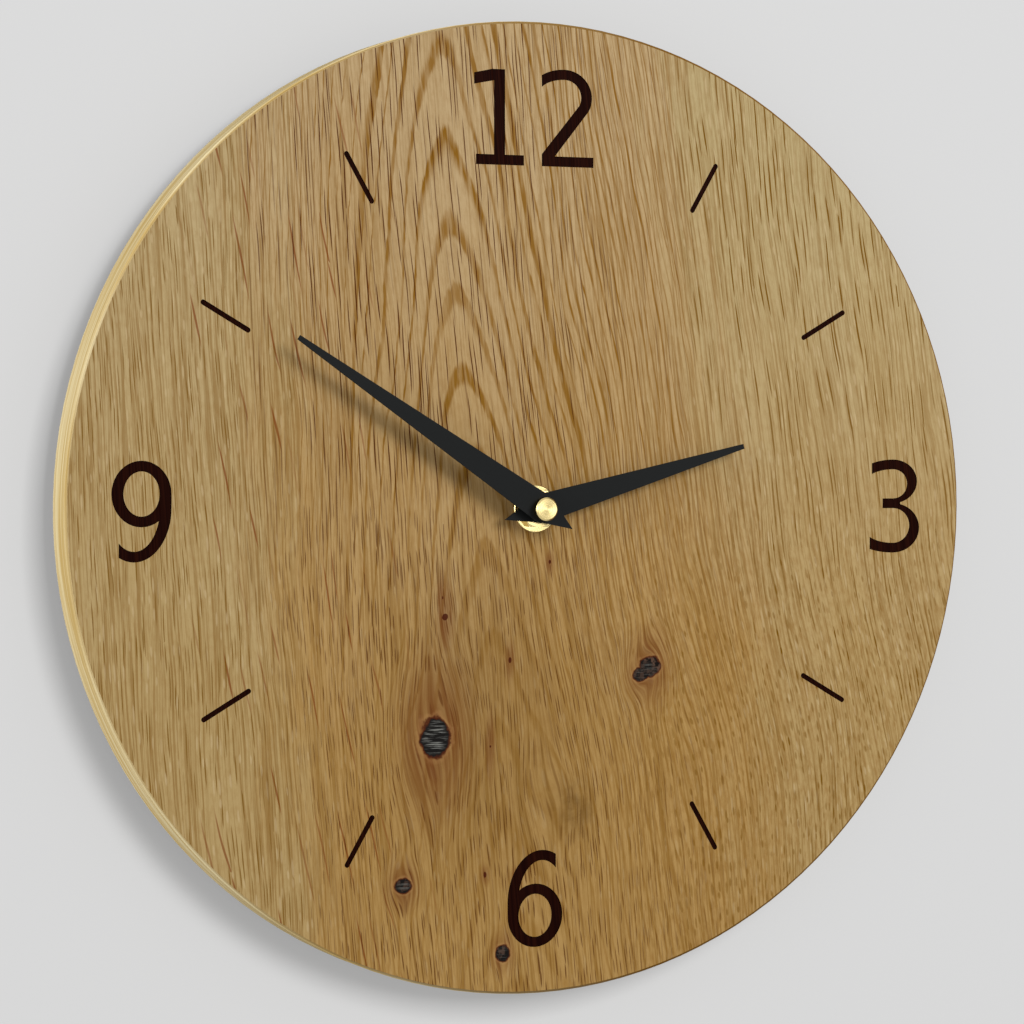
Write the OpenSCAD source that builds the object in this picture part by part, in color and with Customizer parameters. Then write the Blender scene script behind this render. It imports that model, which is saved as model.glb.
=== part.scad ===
// Wooden wall clock with a quartz movement that hangs from a keyhole bracket.
// Every piece is drawn face up on the bench: x to the right, y up the dial, z from the wall to the viewer.
// on_wall() then stands it up, so that the dial faces -Y and 12 o'clock points along +Z.

/* [Dial board] */
// Diameter of the wooden disc
dial_d = 300; // [240:5:400]
// Thickness of the wooden disc
dial_t = 13; // [11:0.5:20]
// Wood left between the movement's pocket and the face
web_t = 5; // [3:0.5:8]
// Width of the bevel on both edges of the disc
bevel = 0.8; // [0.3:0.1:2]
// Room round the movement in its pocket
pocket_gap = 3; // [2:0.5:6]
// Corner radius of the pocket
pocket_r = 5; // [3:0.5:8]

/* [Burnt marks] */
// Depth of the burnt marks
mark_depth = 0.3; // [0.1:0.1:1]
// Height of a numeral
numeral_h = 30; // [24:0.5:34]
// Width of the 6 and of the 9
numeral_w = 18.5; // [16:0.5:22]
// Width of an upright stroke
stroke_v = 3.7; // [2.5:0.1:4.5]
// Width of a level stroke
stroke_h = 3.15; // [2:0.05:4]
// Gap between the two digits of the 12
digit_gap = 6; // [3:0.5:10]
// From the rim to the centre of the 12 and the 6
numeral_inset_v = 29.4; // [24:0.1:40]
// From the rim to the centre of the 3 and the 9
numeral_inset_h = 23.5; // [18:0.1:35]
// From the rim to the outer end of an hour stroke
tick_inset = 25.2; // [10:0.1:40]
// Length of an hour stroke
tick_l = 17.8; // [8:0.1:25]
// Width of an hour stroke
tick_w = 1.6; // [0.8:0.1:4]

/* [Hands] */
// Centre to tip of the minute hand
minute_l = 95; // [60:0.5:110]
// Centre to tail of the minute hand
minute_tail = 11.5; // [8:0.5:20]
// Centre to tip of the hour hand
hour_l = 72.5; // [40:0.5:90]
// Centre to tail of the hour hand
hour_tail = 12.4; // [8:0.1:20]
// Width of a hand across its centre
hand_w = 9; // [7.5:0.1:14]
// Width of a hand at its tip
hand_tip_w = 1.5; // [0.5:0.1:4]
// Thickness of a hand
hand_t = 0.5; // [0.3:0.1:1]
// Minute hand at rest, degrees clockwise from 12
minute_angle = -57; // [-180:0.1:180]
// Hour hand at rest, degrees clockwise from 12
hour_angle = 74.6; // [-180:0.1:180]

/* [Brass fittings] */
// Diameter of the face washer
washer_d = 14.5; // [13.5:0.1:20]
// Thickness of the face washer
washer_t = 0.8; // [0.5:0.1:1.5]
// Bevel round the face washer's front
washer_bevel = 0.2; // [0.1:0.05:0.4]
// Nut across its flats
nut_af = 11; // [10:0.1:13]
// Thickness of the nut
nut_t = 2.2; // [1.5:0.1:4]
// Height of the chamfer on the nut's corners
nut_chamfer = 0.4; // [0.2:0.05:0.7]
// Diameter of the cap nut
cap_d = 7.2; // [5:0.1:9]
// Height of the cap nut
cap_h = 2.7; // [2.5:0.1:5]
// Bevel round the cap nut's front
cap_bevel = 0.45; // [0.2:0.05:0.8]
// Outer diameter of the threaded bush
bush_d = 8; // [7:0.1:9]
// Length of bush that stands out of the nut
bush_over = 0.4; // [0.2:0.1:2]
// Diameter of the bush's collar on the case
collar_d = 12; // [10.5:0.5:16]

/* [Gasket and hanger] */
// Outer diameter of the rubber gasket
gasket_d = 28; // [20:1:40]
// Thickness of the rubber gasket
gasket_t = 1; // [0.5:0.1:2]
// Width of the hanger strap
strap_w = 22; // [18:1:30]
// Thickness of the hanger's sheet
strap_t = 0.8; // [0.6:0.1:1.5]
// From the case's top to the middle of the keyhole
key_rise = 10; // [8:0.5:20]
// Diameter of the keyhole's entry
key_d = 9; // [7:0.5:11]
// Width of the keyhole's slot
key_slot_w = 4.4; // [3:0.1:5]
// From the keyhole's middle to the middle of the slot's end
key_slot_l = 7; // [6:0.5:12]
// Sheet left round the keyhole
key_wall = 3; // [2:0.5:6]

/* [Battery] */
// Diameter of the AA cell
batt_d = 14.5; // [13.5:0.1:15.5]
// Length of the AA cell over its terminals
batt_l = 50.5; // [49:0.1:54]
// Diameter of the cell's positive terminal
terminal_d = 5.5; // [4:0.1:7]
// Height of the cell's positive terminal
terminal_h = 1.6; // [1:0.1:2.5]
// Thickness of the cell's printed sleeve
sleeve_t = 0.2; // [0.1:0.05:0.4]

/* [Movement case] */
// Wall of the case
case_wall = 1.2; // [1:0.1:2]
// Corner radius of the case
case_r = 3; // [2.2:0.1:5]
// Thickness of the rear cover
cover_t = 1.5; // [1.3:0.1:2]
// Wall between the battery and the gears
partition_t = 0.7; // [0.5:0.1:1.2]
// Side of the square posts in the case's upper corners
post_w = 2.6; // [2:0.1:3]
// Room for a contact at each end of the battery
contact_room = 1.55; // [1.3:0.05:2.5]
// Thickness of the contacts' sheet
contact_t = 0.4; // [0.3:0.05:0.6]
// Width of the contacts' strips
contact_w = 3; // [2:0.1:4]
// Side of the contacts' plates behind the battery's ends
contact_plate_w = 8.7; // [7:0.1:11]
// Diameter of the thumb notch in the battery bay's wall
thumb_d = 18; // [12:1:24]

/* [Gear train] */
// Distance from the shaft to the third wheel's arbor
third_spacing = 11.4; // [10.5:0.1:12.5]
// Distance from the intermediate wheel's arbor to the rotor's
rotor_spacing = 8; // [7.5:0.1:9]
// Thickness of each wheel
wheel_t = 1; // [0.7:0.05:1.2]
// Diameter of the wheels' arbors
arbor_d = 1.2; // [1:0.1:1.4]
// Diameter of the arbors' pivots
pivot_d = 0.8; // [0.6:0.05:0.9]
// Diameter of the motion wheel's arbor
motion_arbor_d = 2; // [1.6:0.1:2.4]
// Outer diameter of the hour pipe
hour_pipe_d = 5; // [4.6:0.1:5.4]
// Outer diameter of the minute pipe
minute_pipe_d = 3.5; // [3.2:0.1:3.8]
// Diameter of the threaded end of the minute pipe
stud_d = 2.8; // [2.2:0.1:3]
// Length of thread in the cap nut
stud_l = 1.8; // [1:0.1:2]
// Diameter of the setting knob
knob_d = 9; // [7:0.5:10]

/* [Motor and circuit] */
// Diameter of the rotor's magnet
magnet_d = 4.4; // [3:0.1:5]
// Height of the rotor's magnet
magnet_h = 1.5; // [1:0.1:2]
// Air gap between the magnet and the stator
air_gap = 0.6; // [0.4:0.05:0.8]
// Thickness of the stator and of the coil's core
iron_t = 1; // [0.6:0.1:1.2]
// Width of the coil's core
core_w = 3; // [2.4:0.1:3.2]
// Diameter of the bobbin's flanges
flange_d = 8; // [7.4:0.1:8.4]
// Diameter of the winding
winding_d = 7.4; // [6.4:0.1:7.4]
// Thickness of the circuit board
board_t = 1; // [0.6:0.1:1.2]

/* [Clearances] */
// Running gap of a shaft in its hole, on the radius
run_gap = 0.05; // [0.03:0.01:0.08]
// Gap of a pressed or threaded fit, on the radius
press_gap = 0.02; // [0.01:0.01:0.04]
// Gap of a loose fit, on the radius or the side
loose_gap = 0.15; // [0.1:0.05:0.2]
// Endshake of the arbors at each end
endshake = 0.2; // [0.1:0.05:0.3]
// Least room between a wheel and the next arbor
train_gap = 0.63; // [0.5:0.01:1]
// Gap between the bush and the hour hand
hand_gap = 0.5; // [0.3:0.1:1.5]
// Gap between the two hands
hands_gap = 2; // [1:0.1:4]

/* [Hidden] */
$fn = 96;
over = 0.1;
arc_steps = 20;

// Teeth of the train, and the slim tooth shape that all wheels share, in modules and in shares of a pitch
cannon_n = 12;
motion_n = 36;
motion_pinion_n = 10;
hour_n = 40;
centre_n = 64;
third_pinion_n = 8;
third_n = 60;
seconds_pinion_n = 8;
seconds_n = 60;
inter_pinion_n = 12;
inter_n = 60;
rotor_pinion_n = 10;
addendum = 0.75;
dedendum = 1;
root_half = 0.28;
tip_half = 0.11;
pinion_over = 0.2;

// Depths of the stack, from the wall to the cap nut
case_t = batt_d + 2 * loose_gap + case_wall;
inner_front = case_t - case_wall;
gasket_z = case_t + strap_t;
web_z = gasket_z + gasket_t;
face_z = web_z + web_t;
back_z = face_z - dial_t;
nut_z = face_z + washer_t;
bush_end = nut_z + nut_t + bush_over;
hour_z = bush_end + hand_gap;
minute_z = hour_z + hand_t + hands_gap;
cap_z = minute_z + hand_t;

// Wheel layers, from the rotor's at the back to the hour wheel's at the front
rear_room = 1.5;
front_room = 0.6;
layer_steps = 5;
first_layer = cover_t + rear_room;
last_layer = inner_front - wheel_t - front_room;
function layer(i) = first_layer + i * (last_layer - first_layer) / layer_steps;

// Arbors: shoulders and pivot ends, between the rear cover and the front of the case
pivot_depth = 0.8;
rear_shoulder = cover_t + endshake;
front_shoulder = inner_front - endshake;
rear_pivot = cover_t - pivot_depth;
front_pivot = inner_front + pivot_depth - over;
arbor_r = arbor_d / 2;
pivot_r = pivot_d / 2;
motion_arbor_r = motion_arbor_d / 2;
minute_r = minute_pipe_d / 2;
hour_r = hour_pipe_d / 2;
seat_step = 0.2;
seat_over = 0.3;
hour_seat_r = hour_r - seat_step;
stud_r = stud_d / 2;
minute_bore_r = pivot_r + 2 * run_gap;
hour_bore_r = minute_r + run_gap;
bush_bore_r = hour_r + run_gap;
bush_r = bush_d / 2;
collar_r = collar_d / 2;
spigot_wall = 0.5;
spigot_r = bush_r + spigot_wall;
pipe_under = 0.3;

// Modules and places of the train
function module_for(spacing, a, b) = 2 * spacing / (a + b);
function tip_r(n, m) = m * (n / 2 + addendum);
function polar(r, a) = [r * cos(a), r * sin(a)];
centre_m = module_for(third_spacing, centre_n, third_pinion_n);
third_m = module_for(third_spacing, third_n, seconds_pinion_n);
centre_tip = tip_r(centre_n, centre_m);
motion_spacing = centre_tip + motion_arbor_r + train_gap;
inter_spacing = centre_tip + arbor_r + train_gap;
motion_m = module_for(motion_spacing, cannon_n, motion_n);
hour_m = module_for(motion_spacing, motion_pinion_n, hour_n);
seconds_m = module_for(inter_spacing, seconds_n, inter_pinion_n);
inter_m = module_for(rotor_spacing, inter_n, rotor_pinion_n);
motion_angle = 10;
third_angle = 150;
inter_angle = 80;
rotor_angle = 60;
motion_at = polar(motion_spacing, motion_angle);
third_at = polar(third_spacing, third_angle);
inter_at = polar(inter_spacing, inter_angle);
rotor_at = inter_at + polar(rotor_spacing, rotor_angle);

// Coil and stator
coil_rise = 3.45;
flange_r = flange_d / 2;
coil_y = rotor_at[1] + coil_rise;
core_z = inner_front - over - flange_r - iron_t / 2;
stator_z = core_z - iron_t;
coil_z = core_z + iron_t / 2;
stator_w = 3.4;
stator_ring = 2.6;
leg_drop = 2.4;
pillar_r = 1.5;
pillar_pin_r = 0.8;
pin_over = 0.3;

// Case: the battery bay lies below the largest wheel and the coil sets the top
wheel_room = 0.98;
coil_room = 1;
inner_x = batt_l / 2 + contact_room;
partition_hi = -centre_tip - wheel_room;
bay_hi = partition_hi - partition_t;
batt_y = bay_hi - loose_gap - batt_d / 2;
batt_z = loose_gap + batt_d / 2;
inner_lo = batt_y - batt_d / 2 - loose_gap;
inner_hi = coil_y + flange_r + coil_room;
case_w = 2 * (inner_x + case_wall);
case_h = inner_hi - inner_lo + 2 * case_wall;
case_y = (inner_hi + inner_lo) / 2;
case_top = inner_hi + case_wall;

// Coil between its two pillars
pillar_gap = 0.75;
pillar_inset = 3.2;
bobbin_gap = 0.35;
bobbin_wall = 0.6;
rotor_room = 2;
flange_t = 0.8;
left_pillar_x = -inner_x + contact_t + pillar_gap + pillar_r;
right_pillar_x = rotor_at[0] - pillar_inset;
coil_x0 = left_pillar_x + pillar_r + bobbin_gap;
coil_x1 = right_pillar_x - pillar_r - rotor_room;
bobbin_r = norm([core_w, iron_t]) / 2 + bobbin_wall;

// Circuit board on the rear cover's pegs
board_gap = 0.7;
peg_h = 0.9;
peg_inset = 5;
peg_r = 1.1;
peg_pin_r = 0.6;
peg_pin_under = 0.2;
board_z = cover_t + peg_h;
board_face = board_z + board_t;
board_lo = rotor_at[1] + tip_r(rotor_pinion_n, inter_m) + board_gap;
board_hi = inner_hi - board_gap;
board_x = inner_x - post_w - board_gap;
board_y = (board_lo + board_hi) / 2;
peg_x = board_x - peg_inset;

// Battery contacts and the cell's can
strip_rise = 3.5;
contact_strip_z = cover_t + strip_rise;
tab_rise = 0.4;
tab_y = board_lo + tab_rise;
tab_w = 1.4;
tab_l = 0.7;
tip_gap = 0.25;
tip_inset = 0.4;
plate_rim = 0.3;
can_r = batt_d / 2 - sleeve_t - press_gap;
can_l = batt_l - terminal_h;

// Setting knob in its well
knob_r = knob_d / 2;
knob_z = 0.4;
knob_t = 1.9;
knob_floor = 0.5;
well_gap = 0.4;
well_wall = 0.8;
well_z = knob_z + knob_t + well_gap;
well_r = knob_r + well_gap;

// Moulded signs on the rear cover
sign_depth = 0.3;
sign_l = 4;
sign_w = 0.8;
sign_inset = 7;
sign_rise = 4;
arrow_gap = 2.4;
arrow_w = 2.4;
arrow_l = 2;
arrow_from = 60;
arrow_to = 150;

// Hanger
strap_gap = 0.3;
tab_flat = 1;
strap_y = case_top + strap_gap;
key_y = case_top + key_rise;
tab_top = key_y + key_slot_l + key_slot_w / 2 + key_wall;

// Widths of the numerals that are not round, and the place of the 1's stem
one_w = 16;
one_stem_x = 6;
two_w = 17.5;
three_w = 18.2;

// Bench frame to wall frame
module on_wall() {
    rotate([90, 0, 0]) children();
}

// Helpers
module disc(r, z0, z1) {
    translate([0, 0, z0]) cylinder(r = r, h = z1 - z0);
}

module ring(r, bore, z0, z1) {
    difference() {
        disc(r, z0, z1);
        disc(bore, z0 - over, z1 + over);
    }
}

module rounded_rect(w, h, r) {
    square([w - 2 * r, h], center = true);
    square([w, h - 2 * r], center = true);
    for (sx = [-1, 1], sy = [-1, 1])
        translate([sx * (w / 2 - r), sy * (h / 2 - r)]) circle(r);
}

// A box between two corners
module block(a, b) {
    translate(a) cube(b - a);
}

// Slim trapezoid teeth; a tooth points along +x before the phase turns it
function tooth_corner(n, m, i, k) =
    polar(
        m * (n / 2 + (k == 0 || k == 3 ? -dedendum : addendum)),
        360 / n * (i + [-root_half, -tip_half, tip_half, root_half][k])
    );

module gear(n, m, z0, z1, phase) {
    translate([0, 0, z0]) rotate(phase) linear_extrude(z1 - z0)
        polygon([for (i = [0 : n - 1], k = [0 : 3]) tooth_corner(n, m, i, k)]);
}

// A gear with a gap, and not a tooth, along the given direction
module gapped_gear(n, m, z0, z1, dir) {
    gear(n, m, z0, z1, dir + 180 / n);
}

// Plain arbor with a pivot at each end
module arbor(z0 = rear_shoulder, z1 = front_shoulder) {
    disc(arbor_r, z0, z1);
    disc(pivot_r, rear_pivot + over, z0 + over);
    disc(pivot_r, z1 - over, front_pivot);
}

// Points along an oval between two levels; a is its half width
function arc(x, lo, hi, a, from, to) = [
    for (i = [0 : arc_steps])
        let (t = from + (to - from) * i / arc_steps)
        [x + a * cos(t), (lo + hi) / 2 + (hi - lo) / 2 * sin(t)]
];

module oval(x, lo, hi, a) {
    polygon(concat(arc(x, lo, hi, a, 0, 180), arc(x, lo, hi, a, 180, 360)));
}

// Angle on such an oval where it is dx from its middle, above the middle
function reach(dx, a) = acos(dx / a);

// Numerals, each standing on y = 0 with its left edge near x = 0
module digit_one() {
    flag_drop = 1.3;
    flag_l = 0.6;
    top_drop = 0.7;
    top = numeral_h - top_drop;
    square([one_w, stroke_h]);
    translate([one_stem_x, 0]) square([stroke_v, top]);
    polygon([
        [one_stem_x + over, top - stroke_h - flag_drop / 4],
        [one_stem_x + over, top],
        [one_stem_x - flag_l, top],
        [-flag_l, top - flag_drop],
        [-flag_l, top - flag_drop - stroke_h - flag_drop / 4]
    ]);
}

// The open left end of a top bow is flatter than its right half
module digit_two() {
    bow_x = 7.7;
    bow_a = 9.3;
    bow_h = 17.1;
    bow_end = -29;
    bow_in_end = -26;
    flat_a = 12.1;
    flat_in_a = 9.2;
    heel = 0.6;
    bow_lo = numeral_h - bow_h;
    in_lo = bow_lo + stroke_h;
    in_hi = numeral_h - stroke_h;
    foot_x = 4.4;
    polygon(concat(
        arc(bow_x, in_lo, in_hi, flat_in_a, reach(-bow_x, flat_in_a), 90),
        arc(bow_x, in_lo, in_hi, bow_a - stroke_v, 90, bow_in_end),
        [[0, stroke_h + heel], [0, 0], [two_w, 0], [two_w, stroke_h], [foot_x, stroke_h]],
        arc(bow_x, bow_lo, numeral_h, bow_a, bow_end, 90),
        arc(bow_x, bow_lo, numeral_h, flat_a, 90, reach(-bow_x, flat_a))
    ));
}

module digit_three() {
    bow_x = 8.6;
    upper_a = 8.8;
    lower_a = 9.6;
    flat_a = 14;
    flat_in_a = 10.6;
    low_flat_a = 16;
    low_flat_in_a = 11.2;
    end_x = 0.8;
    bar_x = 4.7;
    bar_over = 2.6;
    tuck = 75;
    waist = 0.53 * numeral_h;
    bar_lo = waist - stroke_h / 2;
    bar_hi = waist + stroke_h / 2;
    end_dx = end_x - bow_x;
    low_end_dx = -bow_x;
    in_hi = numeral_h - stroke_h;
    polygon(concat(
        arc(bow_x, waist, numeral_h, flat_a, reach(end_dx, flat_a), 90),
        arc(bow_x, waist, numeral_h, upper_a, 90, -tuck),
        arc(bow_x, bar_hi, in_hi, upper_a - stroke_v, -90, 90),
        arc(bow_x, bar_hi, in_hi, flat_in_a, 90, reach(end_dx, flat_in_a))
    ));
    polygon(concat(
        arc(bow_x, 0, waist, low_flat_a, -reach(low_end_dx, low_flat_a), -90),
        arc(bow_x, 0, waist, lower_a, -90, tuck),
        arc(bow_x, stroke_h, bar_lo, lower_a - stroke_v, 90, -90),
        arc(bow_x, stroke_h, bar_lo, low_flat_in_a, -90, -reach(low_end_dx, low_flat_in_a))
    ));
    translate([bar_x, bar_lo]) square([bow_x - bar_x + bar_over, stroke_h]);
}

module digit_six() {
    hook_shift = 2.3;
    hook_dx = 4.75;
    hook_swell = 0.1;
    stem_trim = 0.3;
    bowl_hi = 0.655 * numeral_h;
    hook_mid = 0.463 * numeral_h;
    hook_x = numeral_w / 2 + hook_shift;
    hook_in_a = hook_x - stroke_v + hook_swell;
    hook_lo = 2 * hook_mid - numeral_h;
    in_lo = hook_lo + stroke_h;
    in_hi = numeral_h - stroke_h;
    difference() {
        oval(numeral_w / 2, 0, bowl_hi, numeral_w / 2);
        oval(numeral_w / 2, stroke_h, bowl_hi - stroke_h, numeral_w / 2 - stroke_v);
    }
    polygon(concat(
        arc(hook_x, hook_lo, numeral_h, hook_x, reach(hook_dx, hook_x), 180),
        [[0, bowl_hi / 2], [stroke_v - stem_trim, bowl_hi / 2]],
        arc(hook_x, in_lo, in_hi, hook_in_a, 180, reach(hook_dx, hook_in_a))
    ));
}

// Places a numeral by the middle of its own box
module at_mark(x, y, w) {
    translate([x - w / 2, y - numeral_h / 2]) children();
}

module dial_marks() {
    rise = dial_d / 2 - numeral_inset_v;
    side = dial_d / 2 - numeral_inset_h;
    twelve_w = one_w + digit_gap + two_w;
    at_mark(0, rise, twelve_w) digit_one();
    at_mark(0, rise, twelve_w) translate([one_w + digit_gap, 0]) digit_two();
    at_mark(side, 0, three_w) digit_three();
    at_mark(0, -rise, numeral_w) digit_six();
    rotate(180) at_mark(side, 0, numeral_w) digit_six();
    for (hour = [1, 2, 4, 5, 7, 8, 10, 11])
        rotate(-30 * hour) translate([0, dial_d / 2 - tick_inset - tick_l / 2]) {
            square([tick_w, tick_l - tick_w], center = true);
            for (s = [-1, 1]) translate([0, s * (tick_l - tick_w) / 2]) circle(tick_w / 2);
        }
}

// Dial and hands
module dial_disc() {
    r = dial_d / 2;
    color("burlywood") on_wall() difference() {
        rotate_extrude() polygon([
            [0, back_z], [r - bevel, back_z], [r, back_z + bevel],
            [r, face_z - bevel], [r - bevel, face_z], [0, face_z]
        ]);
        translate([0, case_y, back_z - over]) linear_extrude(web_z - back_z + over)
            rounded_rect(case_w + 2 * pocket_gap, case_h + 2 * pocket_gap, pocket_r);
        disc(bush_r + loose_gap, web_z - over, face_z + over);
        translate([0, 0, face_z - mark_depth]) linear_extrude(mark_depth + over) dial_marks();
    }
}

// Kite with a blunt tip and a pointed tail, bored for its pipe
module hand(length, tail, bore, z, angle) {
    rotate(-angle) translate([0, 0, z]) difference() {
        linear_extrude(hand_t) polygon([
            [-hand_w / 2, 0], [0, -tail], [hand_w / 2, 0],
            [hand_tip_w / 2, length], [-hand_tip_w / 2, length]
        ]);
        disc(bore, -over, hand_t + over);
    }
}

module hour_hand() {
    color("#222324") on_wall() hand(hour_l, hour_tail, hour_seat_r + press_gap, hour_z, hour_angle);
}

module minute_hand() {
    color("#222324") on_wall() hand(minute_l, minute_tail, stud_r + press_gap, minute_z, minute_angle);
}

// Brass fittings on the face
module brass_washer() {
    r = washer_d / 2;
    bore = bush_r + loose_gap;
    color("goldenrod") on_wall() rotate_extrude() polygon([
        [bore, face_z], [r, face_z], [r, nut_z - washer_bevel], [r - washer_bevel, nut_z], [bore, nut_z]
    ]);
}

module hex_nut() {
    flat_r = nut_af / 2;
    corner_r = flat_r / cos(30);
    top = nut_z + nut_t;
    color("goldenrod") on_wall() difference() {
        intersection() {
            translate([0, 0, nut_z]) cylinder(r = corner_r, h = nut_t, $fn = 6);
            rotate_extrude() polygon([
                [0, nut_z - over], [corner_r + over, nut_z - over],
                [corner_r + over, top - nut_chamfer], [flat_r, top], [0, top]
            ]);
        }
        disc(bush_r + press_gap, nut_z - over, top + over);
    }
}

module cap_nut() {
    r = cap_d / 2;
    color("gold") on_wall() difference() {
        rotate_extrude() polygon([
            [0, cap_z], [r, cap_z], [r, cap_z + cap_h - cap_bevel],
            [r - cap_bevel, cap_z + cap_h], [0, cap_z + cap_h]
        ]);
        disc(stud_r + press_gap, cap_z - over, cap_z + stud_l + over);
    }
}

module centre_bush() {
    color("goldenrod") on_wall() difference() {
        union() {
            disc(spigot_r, inner_front, case_t + over);
            disc(collar_r, case_t, gasket_z);
            disc(bush_r, gasket_z - over, bush_end);
        }
        disc(bush_bore_r, inner_front - over, bush_end + over);
    }
}

// Gasket and hanger
module gasket() {
    color("dimgray") on_wall() ring(gasket_d / 2, bush_r + loose_gap, gasket_z, web_z);
}

module hanger_bracket() {
    w = strap_w / 2;
    tab_r = w - tab_flat;
    color("silver") on_wall() {
        difference() {
            block([-w, -w, case_t], [w, strap_y + strap_t, gasket_z]);
            disc(collar_r + loose_gap, case_t - over, gasket_z + over);
        }
        block([-w, strap_y, 0], [w, strap_y + strap_t, gasket_z]);
        difference() {
            union() {
                block([-w, strap_y, 0], [w, tab_top - tab_r, strap_t]);
                block([-w + tab_r, strap_y, 0], [w - tab_r, tab_top, strap_t]);
                for (s = [-1, 1])
                    translate([s * (w - tab_r), tab_top - tab_r, 0]) cylinder(r = tab_r, h = strap_t);
            }
            translate([0, key_y, 0]) {
                disc(key_d / 2, -over, strap_t + over);
                block([-key_slot_w / 2, 0, -over], [key_slot_w / 2, key_slot_l, strap_t + over]);
                translate([0, key_slot_l, 0]) disc(key_slot_w / 2, -over, strap_t + over);
            }
        }
    }
}

// Movement case
module case_shape(grow, r) {
    translate([0, case_y])
        rounded_rect(2 * (inner_x + grow), inner_hi - inner_lo + 2 * grow, r);
}

module front_case() {
    inner_r = case_r - case_wall;
    slot_z0 = contact_strip_z - loose_gap;
    slot_z1 = contact_strip_z + contact_w + loose_gap;
    color("#2b2b2d") on_wall() difference() {
        union() {
            difference() {
                linear_extrude(case_t) case_shape(case_wall, case_r);
                translate([0, 0, -over]) linear_extrude(inner_front + over) case_shape(0, inner_r);
            }
            block([-inner_x - over, bay_hi, cover_t], [inner_x + over, partition_hi, inner_front + over]);
            for (s = [-1, 1])
                block([s > 0 ? inner_x - post_w : -inner_x - over, inner_hi - post_w, cover_t],
                    [s > 0 ? inner_x + over : -inner_x + post_w, inner_hi + over, inner_front + over]);
            for (x = [left_pillar_x, right_pillar_x]) translate([x, coil_y, 0]) {
                disc(pillar_r, core_z + iron_t, inner_front + over);
                disc(pillar_pin_r, stator_z - pin_over, inner_front + over);
            }
        }
        disc(spigot_r + press_gap, inner_front - over, case_t + over);
        translate([0, inner_lo - case_wall - over, 0]) rotate([-90, 0, 0])
            cylinder(r = thumb_d / 2, h = case_wall + 2 * over);
        for (p = [motion_at, third_at, inter_at, rotor_at])
            translate(p) disc(pivot_r + run_gap, inner_front - over, inner_front + pivot_depth);
        for (s = [-1, 1])
            block([s * inner_x - contact_t - loose_gap, bay_hi - over, slot_z0],
                [s * inner_x + contact_t + loose_gap, partition_hi + over, slot_z1]);
    }
}

// Plus and minus over the battery's ends, and an arrow round the knob that shows which way it turns
module cover_signs() {
    sign_x = inner_x - sign_inset;
    arrow_r = well_r + arrow_gap;
    for (s = [-1, 1]) translate([s * sign_x, bay_hi + sign_rise]) square([sign_l, sign_w], center = true);
    translate([sign_x, bay_hi + sign_rise]) square([sign_w, sign_l], center = true);
    translate(motion_at) {
        polygon(concat(
            arc(0, -arrow_r, arrow_r, arrow_r, arrow_from, arrow_to),
            arc(0, -arrow_r - sign_w, arrow_r + sign_w, arrow_r + sign_w, arrow_to, arrow_from)
        ));
        rotate(arrow_to) translate([arrow_r + sign_w / 2, 0])
            polygon([[-arrow_w / 2, -over], [arrow_w / 2, -over], [0, arrow_l]]);
    }
}

module rear_cover() {
    side = inner_x - loose_gap;
    top = inner_hi - loose_gap;
    corner = case_r - case_wall;
    color("#333335") on_wall() difference() {
        union() {
            translate([0, (top + bay_hi) / 2, 0]) linear_extrude(cover_t)
                rounded_rect(2 * side, top - bay_hi, corner);
            translate(motion_at) disc(well_r + well_wall, 0, well_z + well_wall);
            for (s = [-1, 1]) translate([s * peg_x, board_y, 0]) {
                disc(peg_r, cover_t - over, board_z);
                disc(peg_pin_r, cover_t - over, board_face - peg_pin_under);
            }
        }
        translate(motion_at) {
            disc(well_r, -over, well_z);
            disc(motion_arbor_r + run_gap, well_z - over, well_z + well_wall + over);
        }
        for (p = [[0, 0], third_at, inter_at, rotor_at])
            translate(p) disc(pivot_r + run_gap, cover_t - pivot_depth, cover_t + over);
        translate([0, 0, -over]) linear_extrude(sign_depth + over) cover_signs();
    }
}

// Motion work: the wheels that carry the hands
module hour_wheel() {
    z = layer(5);
    color("white") on_wall() difference() {
        union() {
            gapped_gear(hour_n, hour_m, z, z + wheel_t, motion_angle);
            disc(hour_r, z, hour_z);
            disc(hour_seat_r, z, hour_z + hand_t + seat_over);
        }
        disc(hour_bore_r, z - over, hour_z + hand_t + seat_over + over);
    }
}

module minute_pipe() {
    z = layer(3);
    color("goldenrod") on_wall() difference() {
        union() {
            gear(cannon_n, motion_m, z + wheel_t, layer(4) + wheel_t + pinion_over, motion_angle);
            disc(minute_r, z - pipe_under, minute_z);
            disc(stud_r, z, cap_z + stud_l);
        }
        disc(minute_bore_r, z - pipe_under - over, layer(5));
    }
}

module centre_wheel() {
    z = layer(3);
    color("ivory") on_wall() difference() {
        gear(centre_n, centre_m, z, z + wheel_t, third_angle);
        disc(minute_r + press_gap, z - over, z + wheel_t + over);
    }
}

module motion_wheel() {
    z = layer(4);
    facing = motion_angle + 180;
    color("ivory") on_wall() translate(motion_at) {
        gapped_gear(motion_n, motion_m, z, z + wheel_t, facing);
        gear(motion_pinion_n, hour_m, z, layer(5) + wheel_t + pinion_over, facing);
        disc(motion_arbor_r, knob_z + knob_floor, z + over);
        disc(arbor_r, z, front_shoulder);
        disc(pivot_r, z, front_pivot);
    }
}

module setting_knob() {
    grips = 18;
    grip_r = 0.5;
    grip_out = 0.15;
    color("#d8d8d4") on_wall() translate(motion_at) difference() {
        disc(knob_r, knob_z, knob_z + knob_t);
        disc(motion_arbor_r + press_gap, knob_z + knob_floor, knob_z + knob_t + over);
        for (i = [0 : grips - 1]) rotate(360 / grips * i) translate([knob_r + grip_out, 0, 0])
            disc(grip_r, knob_z - over, knob_z + knob_t + over);
    }
}

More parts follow.
